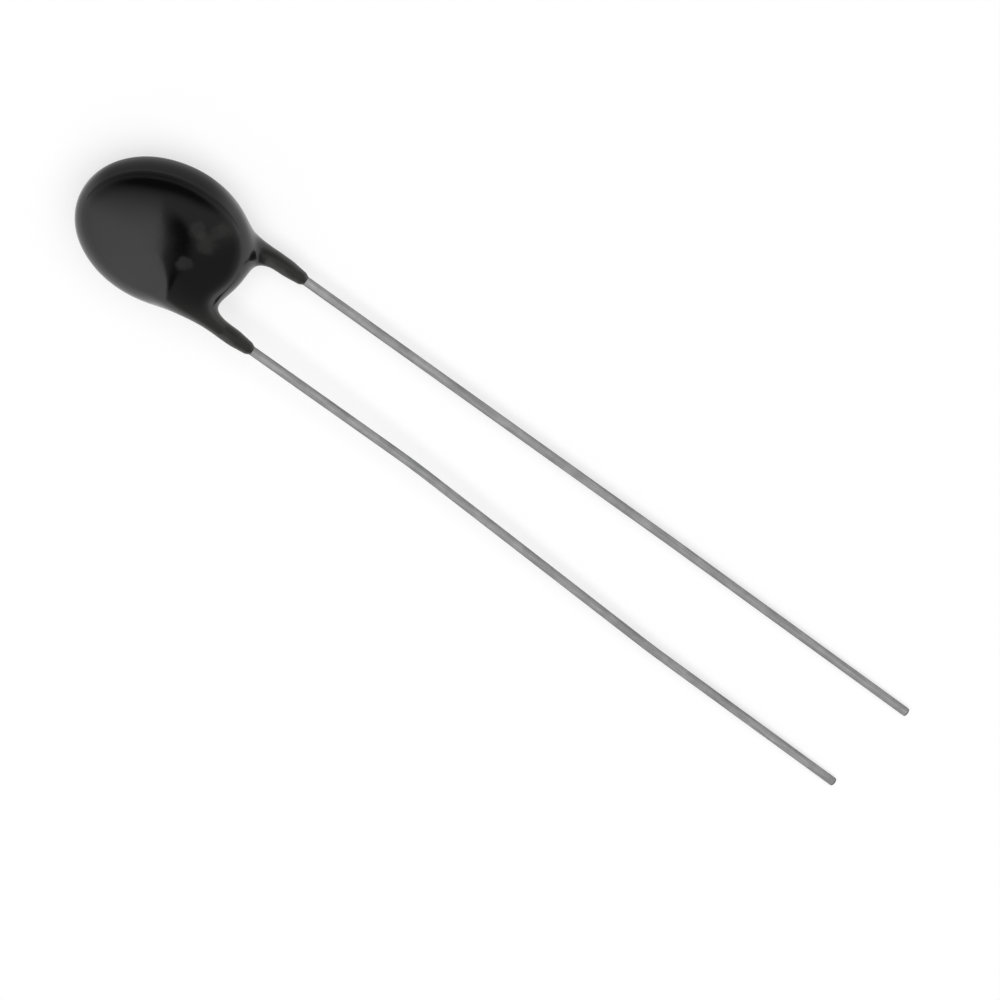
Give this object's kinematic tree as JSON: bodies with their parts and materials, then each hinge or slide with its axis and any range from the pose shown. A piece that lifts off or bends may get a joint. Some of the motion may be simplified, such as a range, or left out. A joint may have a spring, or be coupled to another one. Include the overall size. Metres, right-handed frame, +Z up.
{
  "type": "bead thermistor",
  "caption": "Black epoxy-dipped bead thermistor with two long tinned wire leads; its resistance changes with temperature.",
  "frame": {"origin": "middle of the part's box, on the surface it lies on", "axes": "+X along the leads from the bead to the cut tips, +Z up, square to the surface it lies on"},
  "size_m": [0.0596, 0.0086, 0.0048],
  "materials": {
    "black_epoxy": "glossy dipped epoxy",
    "oxide_ceramic": "sintered oxide ceramic, dark grey brown",
    "fired_silver": "fired metal film, pale and matt",
    "solder": "smooth bright solder",
    "tinned_wire": "drawn wire with a satin tin coat"
  },
  "bodies": {
    "root": {"epoxy_coat": "black_epoxy", "ceramic_disc": "oxide_ceramic", "front_electrode": "fired_silver", "rear_electrode": "fired_silver", "front_solder": "solder", "rear_solder": "solder", "front_lead": "tinned_wire", "rear_lead": "tinned_wire"}
  },
  "joints": []
}
